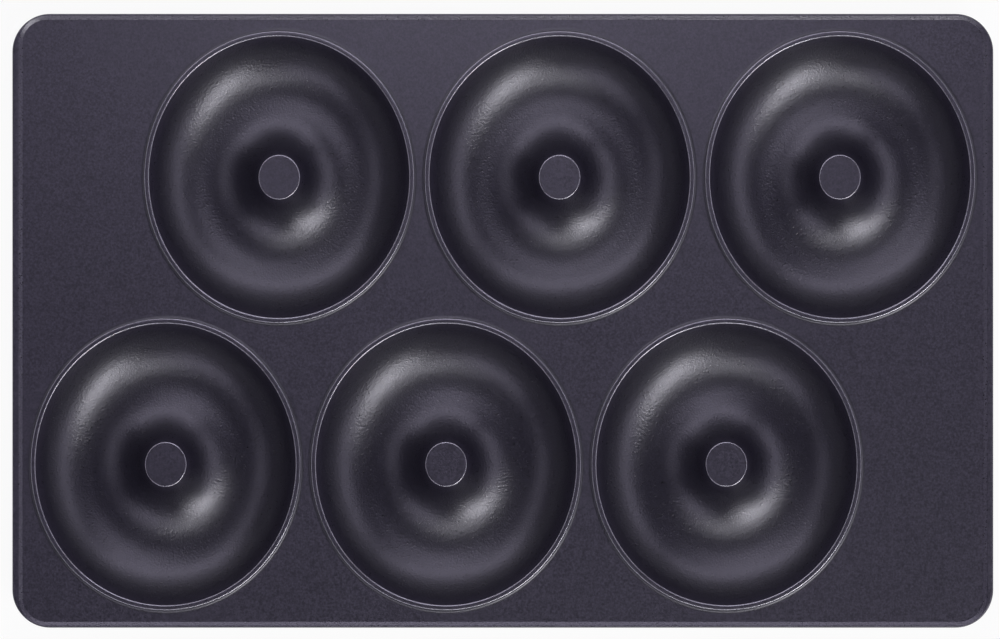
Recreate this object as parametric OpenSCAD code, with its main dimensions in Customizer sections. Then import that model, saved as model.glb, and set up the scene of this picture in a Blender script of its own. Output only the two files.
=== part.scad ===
// Removable ring-cake baking plate for a clam-shell snack maker.
// One die casting with a film of non-stick over its cooking face.
// Frame: origin under the middle of the plate, X along the long side,
// Y towards the back long side, Z up out of the cooking face. Millimetres.
//
// The moulds are turned as round rings and drawn out along Y by
// mould_d / mould_w. The plate is as large as its moulds and margins make it.

/* [Moulds] */
// Width of a mould along X, at the land
mould_w = 64.8; // [50:0.1:90]
// Length of a mould along Y, at the land
mould_d = 70.1; // [50:0.1:95]
// Depth of a mould below the land
mould_h = 10.2; // [6:0.1:12]
// Width of the flat top of a centre post, along X
post_w = 10.3; // [6:0.1:16]
// Thickness of the metal under a mould
mould_t = 2.1; // [1.5:0.1:4]
// Metal taken off each mould's belly to leave a flat contact ring
contact_cut = 0.35; // [0.1:0.05:1]

/* [Beads] */
// Width of the raised bead round a mould
bead_w = 1.35; // [0.8:0.05:1.5]
// Height of the bead over the land
bead_h = 0.6; // [0.4:0.05:1.5]
// Chamfer of the bead's outer edge
bead_c = 0.25; // [0.1:0.01:0.3]

/* [Layout] */
// Clear land between the beads of two neighbours in a row
bead_gap = 2.6; // [2:0.1:12]
// How far the two rows reach between each other along Y
row_nest = 1.2; // [0:0.1:2]
// Shift of the back row against the front row, as a share of the pitch
row_shift = 0.405; // [0.35:0.005:0.5]
// Clear land between the end moulds' beads and the border
end_margin = 2.5; // [2:0.05:12]
// Clear land between the moulds' beads and the border of the long sides
side_margin = 3.3; // [2:0.05:12]

/* [Plate] */
// Corner radius of the outline
corner_r = 9.5; // [4:0.1:20]
// Thickness of the metal between the moulds
land_t = 2.2; // [1.5:0.1:4]
// Height of the outer side wall, from the land down
skirt_h = 8.2; // [4:0.1:10]
// Thickness of the metal in the outer side wall
skirt_t = 2; // [1.5:0.1:3]

/* [Border] */
// Width of the raised border at the two ends of the plate
border_end = 2.05; // [1:0.05:4]
// Width of the raised border along the two long sides
border_side = 1; // [0.9:0.05:3]
// Height of the border over the land
border_h = 0.5; // [0.4:0.05:1.5]
// How much smaller the land's corner radius is than the outline's
border_ease = 3; // [2:0.1:3.5]

/* [Film] */
// Thickness of the non-stick film
film_t = 0.3; // [0.2:0.01:0.34]

/* [Hidden] */
$fn = 96;
stretch = mould_d / mould_w;
mould_r = mould_w / 2;
post_r = post_w / 2;
ring_r = (mould_r + post_r) / 2;
half_w = (mould_r - post_r) / 2;
trough_r = (half_w * half_w + mould_h * mould_h) / (2 * mould_h);
lift = trough_r - mould_h;
reach_r = mould_r + bead_w;
mould_pitch = 2 * reach_r + bead_gap;
row_pitch = 2 * reach_r * stretch - row_nest;
half_l = mould_pitch + mould_pitch * row_shift / 2 + reach_r + end_margin + border_end;
half_d = row_pitch / 2 + reach_r * stretch + side_margin + border_side;
land_r = corner_r - border_ease;
land_z = mould_h + film_t + mould_t - contact_cut;
skirt_z = land_z - skirt_h;
under_z = land_z - film_t - land_t;
web_r = ring_r + sqrt(pow(trough_r + film_t + mould_t, 2) - pow(land_z + lift - under_z, 2));

film_color = [0.17, 0.16, 0.20];
metal_color = [0.70, 0.71, 0.72];

module at_moulds() {
  for (row = [-1, 1])
    for (i = [-1 : 1])
      translate([mould_pitch * (i + row * row_shift / 2), row * row_pitch / 2, 0])
        scale([1, stretch, 1])
          children();
}

// Rounded outline drawn in by "in" on every side
module outline(in) {
  r = corner_r - in;
  w = half_l - corner_r;
  d = half_d - corner_r;
  translate([-w - r, -d])
    square([2 * (w + r), 2 * d]);
  translate([-w, -d - r])
    square([2 * w, 2 * (d + r)]);
  for (sx = [-1, 1])
    for (sy = [-1, 1])
      translate([sx * w, sy * d])
        circle(r = r);
}

// Slab under the land, set in from the outer skin by "in"
module slab(in, z) {
  translate([0, 0, z])
    linear_extrude(height = land_z - in - z)
      outline(in);
}

// Outline of the land inside the border, drawn out by "out"
module land_outline(out) {
  r = land_r + out;
  w = half_l - border_end - land_r;
  d = half_d - border_side - land_r;
  translate([-w - r, -d])
    square([2 * (w + r), 2 * d]);
  translate([-w, -d - r])
    square([2 * w, 2 * (d + r)]);
  for (sx = [-1, 1])
    for (sy = [-1, 1])
      translate([sx * w, sy * d])
        circle(r = r);
}

// Raised border round the land, from "z" up, set in from its outer skin by "in"
module border(in, z) {
  translate([0, 0, z])
    linear_extrude(height = land_z + border_h - in - z)
      difference() {
        outline(in);
        land_outline(in);
      }
}

// Half section of one mould, from the post out to the land round its bead
module mould_section(in, z, reach) {
  high = reach_r - in;
  top = land_z + bead_h - in;
  difference() {
    union() {
      translate([0, z])
        square([reach, land_z - in - z]);
      polygon([[ring_r, z], [high, z], [high, top - bead_c], [high - bead_c, top], [ring_r, top]]);
    }
    translate([ring_r, land_z + lift])
      circle(r = trough_r + in);
  }
}

// Half section of one mould's metal, with its belly and its hollow post
module metal_section(reach) {
  difference() {
    union() {
      mould_section(film_t, under_z, reach);
      intersection() {
        translate([ring_r, land_z + lift])
          circle(r = trough_r + film_t + mould_t);
        translate([0, -20])
          square([reach, 20 + under_z + 0.5]);
      }
    }
    translate([ring_r, land_z + lift])
      circle(r = trough_r + film_t);
  }
}

module plate_casting() {
  color(metal_color)
    difference() {
      union() {
        border(film_t, skirt_z);
        difference() {
          slab(film_t, skirt_z);
          translate([0, 0, skirt_z - 1])
            linear_extrude(height = under_z - skirt_z + 1)
              outline(skirt_t + film_t);
          at_moulds()
            translate([0, 0, skirt_z - 1])
              cylinder(r = web_r + 0.15, h = skirt_h + 2);
        }
        at_moulds()
          rotate_extrude()
            metal_section(web_r + 0.3);
      }
      translate([0, 0, -10])
        linear_extrude(height = 10)
          square([2 * half_l, 2 * half_d], center = true);
    }
}

module cooking_face_coating() {
  color(film_color)
    union() {
      difference() {
        union() {
          slab(0, skirt_z);
          border(0, skirt_z);
        }
        slab(film_t, skirt_z - 1);
        border(film_t, skirt_z - 1);
        at_moulds()
          translate([0, 0, skirt_z - 1])
            cylinder(r = reach_r + film_t / 2, h = skirt_h + 2);
      }
      at_moulds()
        rotate_extrude()
          difference() {
            mould_section(0, 0.4, reach_r + film_t);
            mould_section(film_t, 0, reach_r + 2);
          }
    }
}

plate_casting();
cooking_face_coating();
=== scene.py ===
# %% [markdown]
# # A removable ring-cake baking plate
# This notebook dresses a baking plate that lifts out of a clam-shell snack
# maker. The real thing is one aluminium die casting, sprayed with a dark
# non-stick film. Everything here is in the frame of the engineering model: X
# along the long side, Y towards the back, Z up out of the cooking face. The
# first cell loads that model and has a small helper that puts a mesh, a lamp
# or a camera into the scene.

# %% Load the frame
import math

import bmesh
import bpy
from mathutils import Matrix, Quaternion, Vector
from mathutils.geometry import delaunay_2d_cdt


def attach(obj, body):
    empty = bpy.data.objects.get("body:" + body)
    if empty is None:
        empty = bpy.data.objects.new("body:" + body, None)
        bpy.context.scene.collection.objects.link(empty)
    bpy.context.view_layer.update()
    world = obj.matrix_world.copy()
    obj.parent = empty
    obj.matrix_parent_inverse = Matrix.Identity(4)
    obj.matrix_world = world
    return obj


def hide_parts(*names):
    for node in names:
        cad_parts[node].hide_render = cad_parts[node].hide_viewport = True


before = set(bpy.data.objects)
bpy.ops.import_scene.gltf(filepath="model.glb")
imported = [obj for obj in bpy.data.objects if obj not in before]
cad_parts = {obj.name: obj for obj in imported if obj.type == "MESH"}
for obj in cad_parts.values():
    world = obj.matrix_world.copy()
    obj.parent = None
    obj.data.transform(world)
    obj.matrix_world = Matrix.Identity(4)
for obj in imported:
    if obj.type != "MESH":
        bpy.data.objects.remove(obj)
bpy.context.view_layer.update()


def new_object(name, data):
    """Makes an object of a mesh, a lamp or a camera, and puts it into the scene."""
    made = bpy.data.objects.new(name, data)
    bpy.context.collection.objects.link(made)
    return made


print("nodes:", sorted(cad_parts))

# %% [markdown]
# ## The sizes of the plate
# A good model starts from the few sizes that a toolmaker would write on the
# drawing. They are in millimetres here, because that is how such a part is
# thought about, and one scale turns them to metres where a mesh is made. The
# moulds are a little longer than they are wide: each is worked out as a round
# ring and drawn out along Y by one factor. The plate isn't drawn out. Its
# length and width follow from its moulds, the gaps between them and its
# margins.

# %% Sizes in millimetres
MM = 0.001
MOULD_W, MOULD_D = 64.8, 70.1
POST_R, TROUGH_R = 10.3 / 2, 14.2
FILM, METAL_UNDER_MOULD, CONTACT_CUT = 0.3, 2.1, 0.35
LAND_T, SKIRT_H, SKIRT_T = 2.2, 8.2, 2.0
BEAD_W, BEAD_H = 1.35, 0.6
BEAD_GAP, ROW_NEST, ROW_SHIFT = 2.6, 1.2, 0.405
END_MARGIN, SIDE_MARGIN = 2.5, 3.3
BORDER_END, BORDER_SIDE, BORDER_H = 2.05, 1.0, 0.5
CORNER_R, BORDER_EASE = 9.5, 3.0

STRETCH = MOULD_D / MOULD_W
MOULD_R = MOULD_W / 2
RING_R = (MOULD_R + POST_R) / 2
HALF_W = (MOULD_R - POST_R) / 2
LIFT = math.sqrt(TROUGH_R ** 2 - HALF_W ** 2)
DEPTH = TROUGH_R - LIFT
LAND = DEPTH + FILM + METAL_UNDER_MOULD - CONTACT_CUT
CENTRE_Z = LAND + LIFT
SKIRT_Z = LAND - SKIRT_H
UNDER_Z = LAND - FILM - LAND_T
REACH_R = MOULD_R + BEAD_W
PITCH = 2 * REACH_R + BEAD_GAP
ROWS = 2 * REACH_R * STRETCH - ROW_NEST
HALF_L = PITCH + PITCH * ROW_SHIFT / 2 + REACH_R + END_MARGIN + BORDER_END
HALF_D = ROWS / 2 + REACH_R * STRETCH + SIDE_MARGIN + BORDER_SIDE

CENTRES = [
    (PITCH * (i + row * ROW_SHIFT / 2), row * ROWS / 2)
    for row in (-1, 1)
    for i in (-1, 0, 1)
]
print(f"troughs {DEPTH:.2f} mm deep, land at {LAND:.2f} mm")
print(f"plate {2 * HALF_L:.1f} by {2 * HALF_D:.1f} mm")

# %% [markdown]
# ## One mould as a profile
# Before it is drawn out, a ring mould is a surface of revolution, so one half
# section says everything about it. It could be a cylinder with a bevel
# modifier, but a section worked out point by point gives true round edges of a
# known radius, and those small edges are what catches the light: the crisp
# line round each post and the thin bright line round each bead are roundings
# of a few tenths of a millimetre, with a paler tone painted on them as a highlight.
#
# `arc` lays points on a circle. `mould_profile` goes from the middle of the
# post, over its edge, down the trough, up over the bead and down to the land.
# The same function with an inset gives the metal's surface under the film.
# Each point also says what kind of surface the strip up to it is, because the
# film's finish differs on a flat, on a sharp edge and in a fold: a sharp edge
# carries a painted highlight, and a fold carries painted shade.

# %% Arcs, and the profile of the cooking face
# Each small edge has its radius on the film, and the least left of it on the metal
POST_EDGE, LIP_EDGE, BEAD_EDGE = (0.26, 0.08), (0.30, 0.05), (0.24, 0.05)
# Width of the fold at a bead's foot, and of the flat strip next to a rounded edge
FOLD_W, FACE_STRIP = 0.75, 0.12
# Where the first loop lies on a post's flat top, as a share of that flat
FIRST_LOOP = 0.45


def arc(cx, cz, r, start, end, steps):
    """Points on a circle, in equal steps between two angles in degrees."""
    points = []
    for i in range(steps + 1):
        a = math.radians(start + (end - start) * i / steps)
        points.append((cx + r * math.cos(a), cz + r * math.sin(a)))
    return points


def mould_profile(inset, fine):
    """Half section (r, z, kind) of the cooking face, from the post to the land."""
    edges = (POST_EDGE, LIP_EDGE, BEAD_EDGE)
    post_e, lip_e, out_e = [max(radius - inset, least) for radius, least in edges]
    land, lift, big = LAND - inset, LIFT + inset, TROUGH_R + inset
    top = land + BEAD_H
    high = MOULD_R + BEAD_W - inset

    post_c = RING_R - math.sqrt((big + post_e) ** 2 - (lift + post_e) ** 2)
    a_post = math.degrees(math.atan2(land - post_e - CENTRE_Z, post_c - RING_R))
    lip_c = RING_R + math.sqrt((big + lip_e) ** 2 - (lift - BEAD_H + lip_e) ** 2)
    a_lip = math.degrees(math.atan2(top - lip_e - CENTRE_Z, lip_c - RING_R))
    fold = [
        (high + FOLD_W * (1 + x), land + (BEAD_H - out_e) * (1 + z))
        for x, z in arc(0, 0, 1, 180, 270, 3 * fine)
    ]

    parts = [
        ("flat", [(post_c * FIRST_LOOP, land), (post_c - FACE_STRIP, land), (post_c, land)]),
        ("edge", arc(post_c, land - post_e, post_e, 90, a_post + 180, 3 * fine)[1:]),
        ("trough", arc(RING_R, CENTRE_Z, big, a_post, a_lip, 13 * fine)[1:]),
        ("edge", arc(lip_c, top - lip_e, lip_e, a_lip + 180, 90, 2 * fine)[1:]),
        ("flat", [(high - out_e, top)]),
        ("edge", arc(high - out_e, top - out_e, out_e, 90, 0, 2 * fine)[1:]),
        ("fold", fold[1:]),
        ("flat", [(high + FOLD_W + FACE_STRIP, land)]),
    ]
    return [(r, z, kind) for kind, points in parts for r, z in points]


face_profile = mould_profile(0, 2)
metal_profile = mould_profile(FILM, 1)
print("profile points on the film:", len(face_profile), "and on the metal:", len(metal_profile))

# %% [markdown]
# ## The underside of one mould
# Nobody bakes on the back, but a casting shows there what it is: the belly of
# the mould follows the trough at an even wall, it runs into the flat web with
# a fillet, as molten metal needs, and its lowest part is machined to a flat
# ring that lies on the heater. The post is hollow, because a solid lump would
# shrink and tear as it cools.

# %% Profile of the underside
# Fillets between belly and web, inside the post and outside the mould
FILLET_IN, FILLET_OUT = 1.6, 0.5
# Width of the flat strip next to a fillet, and radius of the first loop in a post
UNDER_STRIP, UNDER_FIRST_R = 0.1, 0.3


def fillet_place(big, fillet):
    """Where a fillet between belly and web sits: its distance from the ring, and its angle."""
    run = math.sqrt((big + fillet) ** 2 - (CENTRE_Z - UNDER_Z + fillet) ** 2)
    return run, math.degrees(math.atan2(UNDER_Z - fillet - CENTRE_Z, run))


def belly_profile(fine):
    """Half section (r, z, kind) of the underside, from the hollow post to the web."""
    big = TROUGH_R + FILM + METAL_UNDER_MOULD
    run_in, a_in = fillet_place(big, FILLET_IN)
    run_out, a_out = fillet_place(big, FILLET_OUT)
    flat = math.sqrt(big ** 2 - CENTRE_Z ** 2)
    a_flat = math.degrees(math.atan2(-CENTRE_Z, flat))
    web_r = RING_R + run_out

    points = [(UNDER_FIRST_R, UNDER_Z)]
    points += arc(RING_R - run_in, UNDER_Z - FILLET_IN, FILLET_IN, 90, -a_in, 3 * fine)
    points += arc(RING_R, CENTRE_Z, big, 180 - a_in, 180 - a_flat, 5 * fine)[1:]
    points += [(RING_R - flat + UNDER_STRIP, 0), (RING_R + flat - UNDER_STRIP, 0)]
    points += arc(RING_R, CENTRE_Z, big, a_flat, a_out, 5 * fine)
    points += arc(web_r, UNDER_Z - FILLET_OUT, FILLET_OUT, a_out + 180, 90, 2 * fine)[1:]
    points += [(web_r + UNDER_STRIP, UNDER_Z)]
    return [
        (r, z, "ring" if z == 0 and z_before == 0 else "belly")
        for (r, z), (_, z_before) in zip(points, points[:1] + points)
    ]


under_profile = belly_profile(2)
print("underside profile points:", len(under_profile))
print("the web starts", round(under_profile[-1][0], 2), "mm from a mould's centre")

# %% [markdown]
# ## The outline of the plate
# Seen from above the plate is a rectangle with round corners, and a raised
# border keeps batter from running off it. The border is wider at the two ends
# than along the sides, and the land's corners inside it are tighter. So two
# outlines with the same number of points are kept side by side, the outer one
# and the land's, and `ROOM` says how wide the border is at each point.

# %% Outlines of the plate and of its land
ARC_STEPS, SIDE_STEPS = 20, 6
# How far two outward directions may differ and still count as the same
SAME_WAY = 0.6


def rounded(half_l, half_d, r):
    """Points (x, y, nx, ny) round a rectangle with round corners, anticlockwise."""
    cx, cy = half_l - r, half_d - r
    corners = [(cx, -cy, -90), (cx, cy, 0), (-cx, cy, 90), (-cx, -cy, 180)]
    points = []
    for n, (x, y, start) in enumerate(corners):
        for i in range(ARC_STEPS + 1):
            a = math.radians(start + 90 * i / ARC_STEPS)
            points.append((x + r * math.cos(a), y + r * math.sin(a), math.cos(a), math.sin(a)))
        x1, y1, nx, ny = points[-1]
        next_x, next_y, _ = corners[(n + 1) % 4]
        x2, y2 = next_x + r * nx, next_y + r * ny
        for i in range(1, SIDE_STEPS):
            t = i / SIDE_STEPS
            points.append((x1 + (x2 - x1) * t, y1 + (y2 - y1) * t, nx, ny))
    return points


OUTLINE = rounded(HALF_L, HALF_D, CORNER_R)
LAND_LINE = rounded(HALF_L - BORDER_END, HALF_D - BORDER_SIDE, CORNER_R - BORDER_EASE)
ROOM = [
    min(
        math.dist((x, y), (u, v))
        for u, v, nu, nv in LAND_LINE
        if abs(nx - nu) + abs(ny - nv) < SAME_WAY
    )
    for x, y, nx, ny in OUTLINE
]


def outer(d):
    """The outer outline, drawn in by d."""
    return [(x - nx * d, y - ny * d) for x, y, nx, ny in OUTLINE]


def land_line(s):
    """The outline of the land, drawn out by s."""
    return [(x + nx * s, y + ny * s) for x, y, nx, ny in LAND_LINE]


print("points round the outline:", len(OUTLINE))
print("border", round(min(ROOM), 2), "mm wide at the narrowest")

# %% [markdown]
# ## The section of the border
# The border has a flat top and a gentle slope down to the land, and that slope
# is a bright line on the sides where it faces the lamp and a dark one where it
# faces away. The film's outer skin gets the full section: a hollow at the foot
# of the slope, the slope at 28 degrees, a soft crest, the flat top and a
# rounded outer edge. The metal under the film gets a plain step, because
# nobody sees it. Each function gives loops of points, from the land outwards.

# %% Loops over the border
SLOPE_DEG, HOLLOW_R, CREST_R, EDGE_R = 28, 0.4, 0.3, 0.4
BEND_STEPS, EDGE_STEPS = 3, 5
# Strips between loops that lie on the slope and its two bends
SLOPE_STRIPS = range(1, 2 * BEND_STEPS + 2)
# Least flat left on top of the border, and chamfer of the metal's edge under it
LEAST_TOP, METAL_CHAMFER = 0.01, 0.08


def soft_border():
    """Loops of (x, y, z) over the film's outer skin, from the land to the side wall."""
    slope = math.radians(SLOPE_DEG)
    half = BORDER_H / math.tan(slope) / 2
    foot = -half - HOLLOW_R * math.tan(slope / 2)
    crest = half + CREST_R * math.tan(slope / 2)
    section = [(foot - FACE_STRIP, 0)]
    section += arc(foot, HOLLOW_R, HOLLOW_R, -90, SLOPE_DEG - 90, BEND_STEPS)
    section += arc(crest, BORDER_H - CREST_R, CREST_R, SLOPE_DEG + 90, 90, BEND_STEPS)
    loops = [[(x, y, LAND + z) for x, y in land_line(s)] for s, z in section]
    edge = [min(EDGE_R, room - crest - LEAST_TOP) for room in ROOM]
    for i in range(EDGE_STEPS + 1):
        a = math.radians(90 * i / EDGE_STEPS)
        inward, down = 1 - math.sin(a), 1 - math.cos(a)
        loops.append([
            (x - nx * e * inward, y - ny * e * inward, LAND + BORDER_H - e * down)
            for (x, y, nx, ny), e in zip(OUTLINE, edge)
        ])
    return loops


def plain_border():
    """Loops of (x, y, z) over the metal, from the land to the side wall."""
    low, high = LAND - FILM, LAND + BORDER_H - FILM
    sections = [
        (land_line(UNDER_STRIP), low),
        (land_line(FILM), low),
        (land_line(FILM), high),
        (outer(FILM + METAL_CHAMFER), high),
        (outer(FILM), high - METAL_CHAMFER),
    ]
    return [[(x, y, z) for x, y in points] for points, z in sections]


print("loops over the film's border:", len(soft_border()), "the metal's:", len(plain_border()))

# %% [markdown]
# ## A skin of loops
# A mesh is only a list of corners and a list of faces, and a class can collect
# both in the order in which one thinks of them. Here that order is loops: the
# skin takes a loop of points, and bridges it to the next with a strip of
# quads. A fan closes a loop with a point. Blender's own tools could bridge
# loops too, but this way each face is known when it is made, so it can be told
# its finish and the mould that it belongs to.

# %% Skin
class Skin:
    """Collects corners in millimetres, and faces with their finish and their mould's centre."""

    def __init__(self):
        self.verts = []
        self.along = []
        self.faces = []
        self.slots = []
        self.turns = []

    def add_loop(self, points, along=0):
        first = len(self.verts)
        self.verts += points
        self.along += [along] * len(points)
        return list(range(first, first + len(points)))

    def add_face(self, face, flip, slot=0, centre=None):
        self.faces.append(face[::-1] if flip else face)
        self.slots.append(slot)
        self.turns.append(centre)

    def bridge(self, a, b, flip=False, slot=0, centre=None):
        n = len(a)
        for i in range(n):
            j = (i + 1) % n
            self.add_face((a[i], b[i], b[j], a[j]), flip, slot, centre)

    def fan(self, loop, point, flip=False, slot=0):
        tip = self.add_loop([point])[0]
        n = len(loop)
        for i in range(n):
            self.add_face((tip, loop[i], loop[(i + 1) % n]), flip, slot)

    def follow(self, last, section, flip=False):
        """Goes on from a loop through (d, z): the outer outline drawn in by d, at height z."""
        for d, z in section:
            loop = self.add_loop([(x, y, z) for x, y in outer(d)])
            self.bridge(last, loop, flip)
            last = loop
        return last


print("lists of a skin:", list(vars(Skin())))

# %% [markdown]
# ## The flat land between the moulds
# The land is flat, so it needs no neat grid: a constrained Delaunay
# triangulation fills it exactly up to the moulds. It fills the whole outline,
# moulds and all, so the triangles inside a mould are left out again. They are
# the ones whose three corners lie on that mould's ring. A triangle between
# three points of the border is kept only if its middle lies inside. The narrow
# flat strip at the end of each profile keeps the shading of the land clean,
# because no rounded face then shares a corner with it.

# %% Fill the flat land
SAME_POINT_MM = 1e-7


def inside(point, ring):
    """True if the point is inside the ring, by counting crossings."""
    hit = False
    for a, b in zip(ring, ring[1:] + ring[:1]):
        if (a[1] > point.y) != (b[1] > point.y):
            if point.x < a[0] + (point.y - a[1]) / (b[1] - a[1]) * (b[0] - a[0]):
                hit = not hit
    return hit


def fill_land(skin, border, holes, flip):
    """Flat fill between a border loop and the moulds' loops."""
    rings = [border] + holes
    index = [i for ring in rings for i in ring]
    ring_of = [n for n, ring in enumerate(rings) for i in ring]
    edges, at = [], 0
    for ring in rings:
        n = len(ring)
        edges += [(at + i, at + (i + 1) % n) for i in range(n)]
        at += n
    flat = [Vector(skin.verts[i][:2]) for i in index]
    places, _, triangles, sources = delaunay_2d_cdt(flat, edges, [], 0, SAME_POINT_MM)[:4]
    border_points = [skin.verts[i] for i in border]
    for triangle in triangles:
        corners = [sources[i][0] for i in triangle]
        owners = {ring_of[c] for c in corners}
        if len(owners) == 1:
            middle = sum((places[i] for i in triangle), Vector((0, 0))) / 3
            if owners != {0} or not inside(middle, border_points):
                continue
        skin.add_face(tuple(index[c] for c in corners), flip)


print("the middle lies inside the outline:", inside(Vector((0, 0)), OUTLINE))

# %% [markdown]
# ## Turning a mould
# Each profile is turned about its mould's centre, and drawn out along Y as it
# goes. Every corner remembers how far along the profile it lies. With its
# angle round the mould that makes a UV map that runs outwards and round, so
# that a finish can follow the lines that machining leaves round a mould. The
# last function makes a Blender mesh of the collected lists, with that map and
# in metres.

# %% Turn a profile, and make the mesh
UV_MM = 100


def turned(skin, centre, profile, segments, flip=False, slots=None):
    """Turns a profile about a mould's centre, and returns its last loop."""
    slots = slots or {}
    cx, cy = centre
    spin = arc(0, 0, 1, 0, 360, segments)[:-1]
    loops, along = [], 0
    for n, (r, z, _) in enumerate(profile):
        along += math.dist(profile[n - 1][:2], (r, z)) if n else r
        loops.append(skin.add_loop([(cx + r * c, cy + r * s * STRETCH, z) for c, s in spin], along))
    _, first_z, first_kind = profile[0]
    skin.fan(loops[0], (cx, cy, first_z), flip, slots.get(first_kind, 0))
    for a, b, (_, _, kind) in zip(loops, loops[1:], profile[1:]):
        skin.bridge(a, b, flip, slots.get(kind, 0), None if kind == "flat" else centre)
    return loops[-1]


def turning_map(skin):
    """UV pairs for every face corner, in one flat list."""
    uv = []
    for face, centre in zip(skin.faces, skin.turns):
        if centre is None:
            uv += [v / UV_MM for i in face for v in skin.verts[i][:2]]
            continue
        cx, cy = centre
        angles = [
            math.atan2((skin.verts[i][1] - cy) / STRETCH, skin.verts[i][0] - cx)
            for i in face
        ]
        if max(angles) - min(angles) > math.pi:
            angles = [a + 2 * math.pi if a < 0 else a for a in angles]
        for i, a in zip(face, angles):
            uv += [skin.along[i] / UV_MM, a * RING_R / UV_MM]
    return uv


def make_mesh(skin, name):
    """A smooth-shaded mesh of the skin, in metres, with its finishes and its UV map."""
    mesh = bpy.data.meshes.new(name)
    mesh.from_pydata([(x * MM, y * MM, z * MM) for x, y, z in skin.verts], [], skin.faces)
    mesh.polygons.foreach_set("material_index", skin.slots)
    mesh.polygons.foreach_set("use_smooth", [True] * len(skin.faces))
    mesh.uv_layers.new(name="turning").data.foreach_set("uv", turning_map(skin))
    mesh.update()
    return mesh


print("one unit of the UV map is", UV_MM, "mm")

# %% [markdown]
# ## The non-stick film
# The film is its own piece: an outer skin, an inner skin a film's thickness
# below it, and a small rounded rim at the foot of the side wall that joins
# them, so that the mesh is closed as a real coat is. It rides on the plate and
# stands in for the plainer engineering solid of the same coat. Both skins are
# laid by one function: six moulds, the border, and the land between them.

# %% Build the film
SEGMENTS, METAL_SEGMENTS = 144, 72
FILM_SLOTS = {"flat": 0, "trough": 1, "edge": 2, "fold": 3}
FOOT_R, FOOT_STEPS = 0.25, 3


def cooking_skin(skin, border, profile, segments, flip=False, slots=None):
    """Lays six moulds, the border and the land between, and returns the border's last loop."""
    holes = [turned(skin, centre, profile, segments, flip, slots) for centre in CENTRES]
    loops = [skin.add_loop(points) for points in border]
    for n, (a, b) in enumerate(zip(loops, loops[1:])):
        skin.bridge(a, b, flip, slots["trough"] if slots and n in SLOPE_STRIPS else 0)
    fill_land(skin, loops[0], holes, flip)
    return loops[-1]


film = Skin()
side_top = cooking_skin(film, soft_border(), face_profile, SEGMENTS, slots=FILM_SLOTS)
foot = arc(FOOT_R, SKIRT_Z + FOOT_R, FOOT_R, 180, 270, FOOT_STEPS)
outside = film.follow(side_top, foot)
within = cooking_skin(film, plain_border(), metal_profile, METAL_SEGMENTS, flip=True)
rim = film.follow(within, [(FILM, SKIRT_Z)], flip=True)
film.bridge(outside, rim)

coating = new_object("nonstick_film", make_mesh(film, "nonstick_film"))
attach(coating, "root")
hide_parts("cooking_face_coating")
print("film:", len(coating.data.vertices), "vertices,", len(coating.data.polygons), "faces")

# %% [markdown]
# ## The casting
# The casting fills the space between the film's inner skin and the underside.
# Its back is a shallow tray: a rim all round, a flat web, and six bellies. The
# rim's inner edge is rounded, a fillet joins its wall to the web, and each
# belly's contact ring gets a second material, because it is machined after
# casting and the rest is not.

# %% Build the casting
BELLY_SEGMENTS, TRAY_STEPS = 96, 4
RIM_R, WEB_FILLET, WEB_STRIP = 0.5, 0.7, 0.08

casting = Skin()
side_top = cooking_skin(casting, plain_border(), metal_profile, METAL_SEGMENTS)
pocket = FILM + SKIRT_T
tray = [(FILM, SKIRT_Z), (FILM + UNDER_STRIP, SKIRT_Z)]
tray += arc(pocket - RIM_R, SKIRT_Z + RIM_R, RIM_R, -90, 0, TRAY_STEPS)
tray += arc(pocket + WEB_FILLET, UNDER_Z - WEB_FILLET, WEB_FILLET, 180, 90, TRAY_STEPS)
tray += [(pocket + WEB_FILLET + WEB_STRIP, UNDER_Z)]
web = casting.follow(side_top, tray)
bellies = [
    turned(casting, centre, under_profile, BELLY_SEGMENTS, flip=True, slots={"ring": 1})
    for centre in CENTRES
]
fill_land(casting, web, bellies, flip=True)

body = new_object("cast_plate", make_mesh(casting, "cast_plate"))
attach(body, "root")
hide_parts("plate_casting")
print("casting:", len(body.data.vertices), "vertices,", len(body.data.polygons), "faces")

# %% [markdown]
# ## One closed surface each
# Loops that lie on each other have to become one. Here the points that lie
# within a thousandth of a millimetre are welded, and faces that have no area
# are dissolved. A closed mesh has exactly two faces at every edge, so counting
# the other edges shows at once whether a piece is whole, and its signed volume
# is positive only if its faces look outwards.

# %% Weld the loops, and test that both pieces are closed
WELD, NO_LENGTH = 1e-6, 1e-7

for piece in (coating, body):
    bm = bmesh.new()
    bm.from_mesh(piece.data)
    bmesh.ops.remove_doubles(bm, verts=bm.verts, dist=WELD)
    bmesh.ops.dissolve_degenerate(bm, dist=NO_LENGTH, edges=bm.edges)
    bm.normal_update()
    open_edges = sum(len(e.link_faces) != 2 for e in bm.edges)
    volume = bm.calc_volume(signed=True) / MM ** 3
    bm.to_mesh(piece.data)
    bm.free()
    print(piece.name, "open edges:", open_edges, "volume:", round(volume), "mm3")

# %% [markdown]
# ## Colours and nodes
# A colour is written as the hex value that one would pick on a screen, and
# Blender's sockets want linear light, so one function does the conversion.
# Materials are node trees, and one small function adds any node with its
# settings, its links and, where it is a colour ramp, its stops. That keeps
# each material readable as a recipe.

# %% Helpers for materials
def linear(hex_colour):
    """sRGB hex to linear RGBA."""
    parts = [int(hex_colour[i:i + 2], 16) / 255 for i in (1, 3, 5)]
    return [c / 12.92 if c <= 0.04045 else ((c + 0.055) / 1.055) ** 2.4 for c in parts] + [1]


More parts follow.
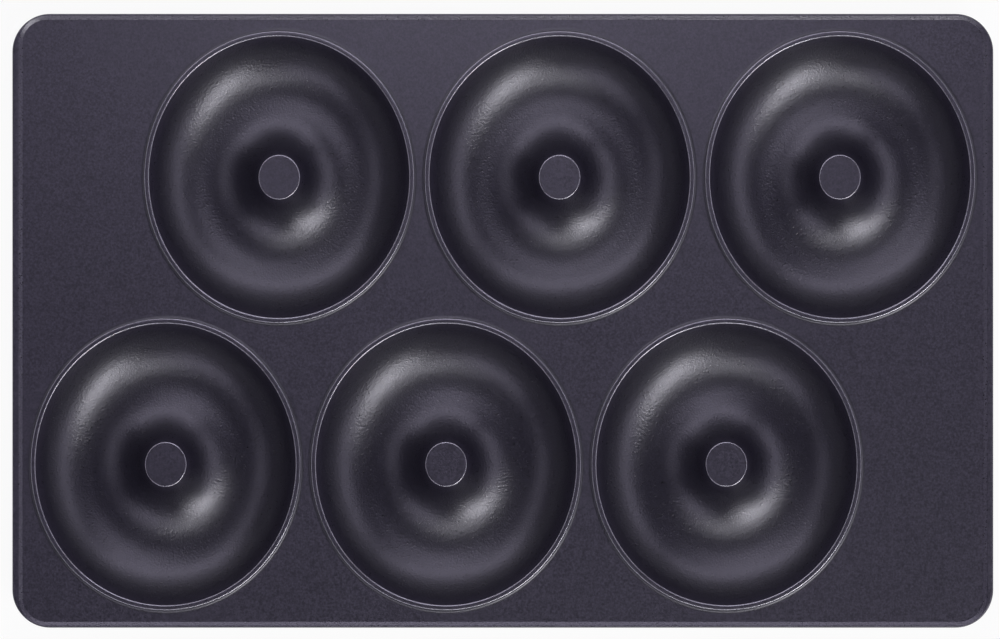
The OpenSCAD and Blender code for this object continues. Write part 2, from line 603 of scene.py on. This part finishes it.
def add_node(tree, kind, settings=None, inputs=None, stops=()):
    """Adds a node. Settings are attributes, inputs are values or sockets, stops a ramp's."""
    node = tree.nodes.new(kind)
    for name, value in (settings or {}).items():
        setattr(node, name, value)
    for name, value in (inputs or {}).items():
        if isinstance(value, bpy.types.NodeSocket):
            tree.links.new(value, node.inputs[name])
        else:
            node.inputs[name].default_value = value
    for n, (position, hex_colour) in enumerate(stops):
        node.color_ramp.elements[n].position = position
        node.color_ramp.elements[n].color = linear(hex_colour)
    return node


def new_material(name):
    """An empty material, and its node tree."""
    material = bpy.data.materials.new(name)
    material.use_nodes = True
    tree = material.node_tree
    tree.nodes.clear()
    return material, tree


print("a mid grey in linear light:", round(linear("#808080")[0], 3))

# %% [markdown]
# ## Sprayed non-stick film
# PTFE film is sprayed on blasted metal and baked. It is a dark grey with a
# touch of violet, satin rather than glossy, with a fine speckle from mica
# flakes in the top coat and a very shallow orange peel from spraying. Real
# flakes are about 0.1 mm, too fine to show, so the speckle is drawn at 0.5 mm.
# It drives three things at once: the tone, the roughness, and a grain, which
# is a bump. In a mould the tone also turns darker over the first 4 mm down, as painted shade.
# Pure PTFE has an IOR of about 1.35. Pigment and mica make the film reflect
# more, so it starts from 1.8 here.
#
# Machining leaves fine lines round each mould, and the film keeps a trace of
# them: its sheen spreads outwards from each post and stays narrow along the
# ring. That is what the anisotropic setting does, with its tangent taken from
# the UV map that runs along the profile.

# %% The recipe of the film
SPECKLE_MM, PEEL_MM, PEEL_HEIGHT_MM = 0.5, 1.6, 0.1
# Values of the noise at which the speckle is darkest and lightest
DARKEST, LIGHTEST = 0.32, 0.70
# Values between which nearly all of a noise lies, and how far it moves the roughness
NOISE_LOW, NOISE_HIGH, ROUGHNESS_SPREAD = 0.3, 0.7, 0.03
# Depths below the land between which a mould's tone turns darker as painted shade, in millimetres
DEPTH_SHADE_FROM, DEPTH_SHADE_TO = 0.2, 4.0


def film_finish(name, land_tones, depth_shade_tones, roughness, grain_mm, lines=0, ior=1.8, shine=0.5):
    """The sprayed film, with its darkest and lightest tone on the land, and deep in a mould, where
    the darker tone is painted shade.
    """
    material, tree = new_material(name)
    place = add_node(tree, "ShaderNodeTexCoord").outputs["Object"]
    speckle = add_node(tree, "ShaderNodeTexNoise", inputs={
        "Vector": place, "Scale": 1 / (SPECKLE_MM * MM), "Detail": 2.0, "Roughness": 0.6})
    peel = add_node(tree, "ShaderNodeTexNoise", inputs={
        "Vector": place, "Scale": 1 / (PEEL_MM * MM), "Detail": 1.0, "Roughness": 0.5})
    on_land, depth_shade_ramp = [
        add_node(tree, "ShaderNodeValToRGB", inputs={"Fac": speckle.outputs["Fac"]},
                 stops=[(DARKEST, dark), (LIGHTEST, light)])
        for dark, light in (land_tones, depth_shade_tones)
    ]
    # Deep in a mould the tone mixes over to the darker ramp: painted shade
    height = add_node(tree, "ShaderNodeSeparateXYZ", inputs={"Vector": place})
    depth = add_node(tree, "ShaderNodeMapRange", {"interpolation_type": "SMOOTHSTEP"}, {
        "Value": height.outputs["Z"],
        "From Min": (LAND - DEPTH_SHADE_FROM) * MM, "From Max": (LAND - DEPTH_SHADE_TO) * MM})
    tone = add_node(tree, "ShaderNodeMixRGB", inputs={
        "Fac": depth.outputs["Result"],
        "Color1": on_land.outputs["Color"], "Color2": depth_shade_ramp.outputs["Color"]})
    rough = add_node(tree, "ShaderNodeMapRange", inputs={
        "Value": speckle.outputs["Fac"], "From Min": NOISE_LOW, "From Max": NOISE_HIGH,
        "To Min": roughness - ROUGHNESS_SPREAD, "To Max": roughness + ROUGHNESS_SPREAD})
    grain = add_node(tree, "ShaderNodeBump", inputs={
        "Height": speckle.outputs["Fac"], "Strength": 1.0, "Distance": grain_mm * MM})
    waves = add_node(tree, "ShaderNodeBump", inputs={
        "Height": peel.outputs["Fac"], "Strength": 0.10, "Distance": PEEL_HEIGHT_MM * MM,
        "Normal": grain.outputs["Normal"]})
    shader = add_node(tree, "ShaderNodeBsdfPrincipled", inputs={
        "Base Color": tone.outputs["Color"], "Metallic": 0.0, "Roughness": rough.outputs["Result"],
        "IOR": ior, "Specular IOR Level": shine, "Specular Tint": linear("#f6f4ff"),
        "Normal": waves.outputs["Normal"]})
    if lines:
        outwards = add_node(tree, "ShaderNodeTangent", {
            "direction_type": "UV_MAP", "uv_map": "turning"})
        shader.inputs["Anisotropic"].default_value = lines
        tree.links.new(outwards.outputs["Tangent"], shader.inputs["Tangent"])
    add_node(tree, "ShaderNodeOutputMaterial", inputs={"Surface": shader.outputs["BSDF"]})
    return material


print("speckle", SPECKLE_MM, "mm, orange peel", PEEL_MM, "mm")

# %% [markdown]
# ## Four states of the film
# The same film looks different by where it lies. On the blasted land it is
# even. In the moulds it has the lines of machining and a stronger grain, which
# breaks up the highlights, and its tone turns darker with depth, as painted shade.
# Beads and posts carry a thin, paler and glossier line, and the paler tone is a
# painted highlight. The fold at a bead's foot is smooth, and its dark tone is
# painted shade in that crease. The finishes are added in the order that
# `FILM_SLOTS` gives to the film's faces.

# %% Film materials
LAND_TONES = ("#15121f", "#34303f")
# Darker tones: painted shade deep in the moulds and in the fold at a bead's foot
PAINTED_SHADE_TONES = ("#0b0913", "#1a1725")
# Paler tones on sharp edges: a painted highlight
EDGE_HIGHLIGHT_TONES = ("#45424d", "#575460")

for finish in (
    film_finish("ptfe_film_on_blasted_land", LAND_TONES, LAND_TONES,
                roughness=0.35, grain_mm=0.015),
    # Its tone turns darker deep in the mould: painted shade
    film_finish("ptfe_film_on_turned_mould_depth_shaded", LAND_TONES, PAINTED_SHADE_TONES,
                roughness=0.30, grain_mm=0.085, lines=0.55),
    # The paler tone on post and bead edges is a painted highlight
    film_finish("ptfe_film_sharp_edge_painted_highlight", EDGE_HIGHLIGHT_TONES, EDGE_HIGHLIGHT_TONES,
                roughness=0.22, grain_mm=0.01, ior=2.2, shine=1.0),
    # The dark tone in the fold at a bead's foot is painted shade
    film_finish("ptfe_film_fold_painted_shade", PAINTED_SHADE_TONES, PAINTED_SHADE_TONES,
                roughness=0.35, grain_mm=0.01),
):
    coating.data.materials.append(finish)
print("film finishes:", [m.name for m in coating.data.materials])

# %% [markdown]
# ## Die-cast aluminium
# The back keeps the skin of the casting, lightly blasted: a pale grey metal
# with a soft, even sheen and slow clouds where the melt met the die. The
# clouds are about 14 mm, and shift both the tone and the roughness. The marks
# of the blasting grit are finer than 0.2 mm, and are drawn at 0.6 mm so that
# they show.

# %% Cast aluminium
GRIT_MM, CLOUD_MM, GRIT_HEIGHT_MM = 0.6, 14.0, 0.1

cast_mat, tree = new_material("die_cast_aluminium")
place = add_node(tree, "ShaderNodeTexCoord").outputs["Object"]
grit = add_node(tree, "ShaderNodeTexNoise", inputs={
    "Vector": place, "Scale": 1 / (GRIT_MM * MM), "Detail": 3.0, "Roughness": 0.65})
cloud = add_node(tree, "ShaderNodeTexNoise", inputs={
    "Vector": place, "Scale": 1 / (CLOUD_MM * MM), "Detail": 4.0, "Roughness": 0.55})
tone = add_node(tree, "ShaderNodeValToRGB", inputs={"Fac": cloud.outputs["Fac"]},
                stops=[(NOISE_LOW, "#a9abae"), (NOISE_HIGH, "#c3c5c8")])
rough = add_node(tree, "ShaderNodeMapRange", inputs={
    "Value": cloud.outputs["Fac"], "From Min": NOISE_LOW, "From Max": NOISE_HIGH,
    "To Min": 0.46, "To Max": 0.36})
bump = add_node(tree, "ShaderNodeBump", inputs={
    "Height": grit.outputs["Fac"], "Strength": 0.35, "Distance": GRIT_HEIGHT_MM * MM})
shader = add_node(tree, "ShaderNodeBsdfPrincipled", inputs={
    "Base Color": tone.outputs["Color"], "Metallic": 1.0, "Roughness": rough.outputs["Result"],
    "Normal": bump.outputs["Normal"]})
add_node(tree, "ShaderNodeOutputMaterial", inputs={"Surface": shader.outputs["BSDF"]})
body.data.materials.append(cast_mat)
print("clouds", CLOUD_MM, "mm, grit", GRIT_MM, "mm")

# %% [markdown]
# ## Bright contact rings
# The six rings that lie on the heater are machined flat and bright. They are
# the same metal, paler and smoother than the skin of the casting. The tool's
# marks on such a face are too fine to show, and these rings are seen only from
# below, so a faint grit stands in for them.

# %% Machined aluminium
TOOL_MARK_MM = 0.05

turned_mat, tree = new_material("turned_aluminium")
place = add_node(tree, "ShaderNodeTexCoord").outputs["Object"]
marks = add_node(tree, "ShaderNodeTexNoise", inputs={
    "Vector": place, "Scale": 1 / (GRIT_MM * MM), "Detail": 2.0, "Roughness": 0.5})
tone = add_node(tree, "ShaderNodeValToRGB", inputs={"Fac": marks.outputs["Fac"]},
                stops=[(0, "#c4c6c9"), (1, "#d6d8da")])
bump = add_node(tree, "ShaderNodeBump", inputs={
    "Height": marks.outputs["Fac"], "Strength": 0.12, "Distance": TOOL_MARK_MM * MM})
shader = add_node(tree, "ShaderNodeBsdfPrincipled", inputs={
    "Base Color": tone.outputs["Color"], "Metallic": 1.0, "Roughness": 0.26,
    "Normal": bump.outputs["Normal"]})
add_node(tree, "ShaderNodeOutputMaterial", inputs={"Surface": shader.outputs["BSDF"]})
body.data.materials.append(turned_mat)
print("materials on the casting:", [m.name for m in body.data.materials])

# %% [markdown]
# ## The floor
# The plate lies face up on white paper. Such a background could be lit until
# it is white, but that light would wash out the plate too. So the camera's
# rays, and those of reflections and glass, see mostly plain white there. Close
# to the plate they see 8 per cent of the real paper through it, which keeps
# the plate's soft shadow, and from 1.2 m on they see none.

# %% Floor
# All in metres, apart from the share of the real paper that is seen
FLOOR_REACH, FLOOR_DROP = 4.0, 0.0002
FADE_FROM, FADE_TO = 0.25, 1.2
SHADOW_SHARE = 0.08

floor_mesh = bpy.data.meshes.new("floor")
floor_mesh.from_pydata(
    [(x * FLOOR_REACH, y * FLOOR_REACH, 0) for x, y in ((-1, -1), (1, -1), (1, 1), (-1, 1))],
    [], [(0, 1, 2, 3)])
floor = new_object("floor", floor_mesh)
floor.location.z = -FLOOR_DROP


def sees_background(tree):
    """1 for the rays of the camera, of reflections and of glass, 0 for the rest."""
    ray = add_node(tree, "ShaderNodeLightPath")
    seen = add_node(tree, "ShaderNodeMath", {"operation": "MAXIMUM"}, {
        0: ray.outputs["Is Camera Ray"], 1: ray.outputs["Is Glossy Ray"]})
    return add_node(tree, "ShaderNodeMath", {"operation": "MAXIMUM"}, {
        0: seen.outputs[0], 1: ray.outputs["Is Transmission Ray"]})


floor_mat, tree = new_material("white_paper_floor")
away = add_node(tree, "ShaderNodeVectorMath", {"operation": "LENGTH"}, {
    0: add_node(tree, "ShaderNodeTexCoord").outputs["Object"]})
white_share = add_node(tree, "ShaderNodeMapRange", inputs={
    "Value": away.outputs["Value"], "From Min": FADE_FROM, "From Max": FADE_TO,
    "To Min": 1 - SHADOW_SHARE, "To Max": 1.0})
seen = add_node(tree, "ShaderNodeMath", {"operation": "MULTIPLY"}, {
    0: sees_background(tree).outputs[0], 1: white_share.outputs["Result"]})
paper = add_node(tree, "ShaderNodeBsdfDiffuse", inputs={"Color": linear("#f2f2f2")})
glow = add_node(tree, "ShaderNodeEmission", inputs={"Color": linear("#ffffff"), "Strength": 1.0})
mixed = add_node(tree, "ShaderNodeMixShader", inputs={
    0: seen.outputs[0], 1: paper.outputs["BSDF"], 2: glow.outputs["Emission"]})
add_node(tree, "ShaderNodeOutputMaterial", inputs={"Surface": mixed.outputs["Shader"]})
floor_mesh.materials.append(floor_mat)
print("floor", FLOOR_REACH * 2, "m wide")

# %% [markdown]
# ## The room
# A room with white walls and a dim ceiling stands round the plate. Its white
# band reaches 8 degrees up and fades out by 26 degrees. Only the camera and
# reflections see it, as on the floor, so it puts no extra light on the plate,
# but it draws the thin bright line round every bead, post and edge.

# %% World
WALL_TOP_DEG, WALL_END_DEG = 8, 26

world = bpy.data.worlds.new("pale_room")
bpy.context.scene.world = world
world.use_nodes = True
tree = world.node_tree
tree.nodes.clear()
direction = add_node(tree, "ShaderNodeSeparateXYZ", inputs={
    "Vector": add_node(tree, "ShaderNodeTexCoord").outputs["Generated"]})
walls = add_node(tree, "ShaderNodeMapRange", {"interpolation_type": "SMOOTHSTEP"}, {
    "Value": direction.outputs["Z"],
    "From Min": math.sin(math.radians(WALL_END_DEG)),
    "From Max": math.sin(math.radians(WALL_TOP_DEG))})
wall_seen = add_node(tree, "ShaderNodeMath", {"operation": "MULTIPLY"}, {
    0: sees_background(tree).outputs[0], 1: walls.outputs["Result"]})
room = add_node(tree, "ShaderNodeBackground", inputs={"Color": linear("#e6e6ef"), "Strength": 0.05})
white = add_node(tree, "ShaderNodeBackground", inputs={"Color": linear("#ffffff"), "Strength": 1.0})
mixed = add_node(tree, "ShaderNodeMixShader", inputs={
    0: wall_seen.outputs[0], 1: room.outputs["Background"], 2: white.outputs["Background"]})
add_node(tree, "ShaderNodeOutputWorld", inputs={"Surface": mixed.outputs["Shader"]})
print("white walls up to", WALL_TOP_DEG, "degrees, gone by", WALL_END_DEG)

# %% [markdown]
# ## The lamps
# A dark satin surface shows its lamps more than its own colour, so the lamps
# are large and soft, and most stand at about half height. The key is far off
# at the front right, with a small, nearer lamp at the front. Five slightly
# cooler ones fill in the back and the sides. Each stands at an azimuth and an
# angle down from straight above, which is how one finds the wall of a trough
# that it lights.

# %% Lamps
WHITE, COOL = "#ffffff", "#f3eeff"


def softbox(name, place, width, height, power, colour=COOL, roll=0):
    """A rectangular lamp that looks at the plate, rolled by degrees, and isn't seen itself."""
    data = bpy.data.lights.new(name, "AREA")
    data.shape = "RECTANGLE"
    data.size, data.size_y = width, height
    data.energy = power
    data.color = linear(colour)[:3]
    lamp = new_object(name, data)
    lamp.location = place
    lamp.rotation_mode = "QUATERNION"
    aim = (-Vector(place)).to_track_quat("-Z", "Y")
    lamp.rotation_quaternion = aim @ Quaternion((0, 0, 1), math.radians(roll))
    lamp.visible_camera = False


def at(azimuth, polar, distance):
    """A place over the plate: azimuth anticlockwise from +X, polar down from straight up."""
    a, p = math.radians(azimuth), math.radians(polar)
    level = distance * math.sin(p)
    return (level * math.cos(a), level * math.sin(a), distance * math.cos(p))


# Name, place, width and height in metres, and watts
softbox("key", at(308, 45, 2.4), 1.30, 0.48, 25.0, WHITE, roll=36)
softbox("front", at(275, 32, 1.6), 0.42, 0.22, 2.6, WHITE)
softbox("back_wall", at(96, 48, 0.8), 1.25, 0.25, 2.5)
softbox("right_wall", at(3, 54, 1.2), 1.40, 0.30, 2.6)
softbox("left_wall", at(168, 43, 1.2), 1.00, 0.26, 1.1)
softbox("front_left", at(240, 46, 1.2), 0.60, 0.26, 1.3)
softbox("back_top", at(90, 19, 0.6), 0.28, 0.13, 0.34)

# %% [markdown]
# ## The camera
# The plate is seen from straight above, and it should fill the picture. The
# focal length follows from the distance and from how many millimetres of the
# plate one pixel covers, and a shift of less than a millimetre centres it.

# %% Camera
MM_PER_PIXEL, FRAME_W = 0.25, 1000
DISTANCE, SENSOR = 1.25, 36.0
OFF_X_MM, OFF_Y_MM = -0.7, 0.32

camera_data = bpy.data.cameras.new("camera")
camera_data.sensor_width = SENSOR
camera_data.lens = SENSOR * DISTANCE / (FRAME_W * MM_PER_PIXEL * MM)
camera = new_object("camera", camera_data)
camera.location = (OFF_X_MM * MM, OFF_Y_MM * MM, LAND * MM + DISTANCE)
bpy.context.scene.camera = camera
print("lens", round(camera_data.lens, 1), "mm at", DISTANCE, "m")

# %% Finish
bpy.context.scene.view_settings.view_transform = "Standard"
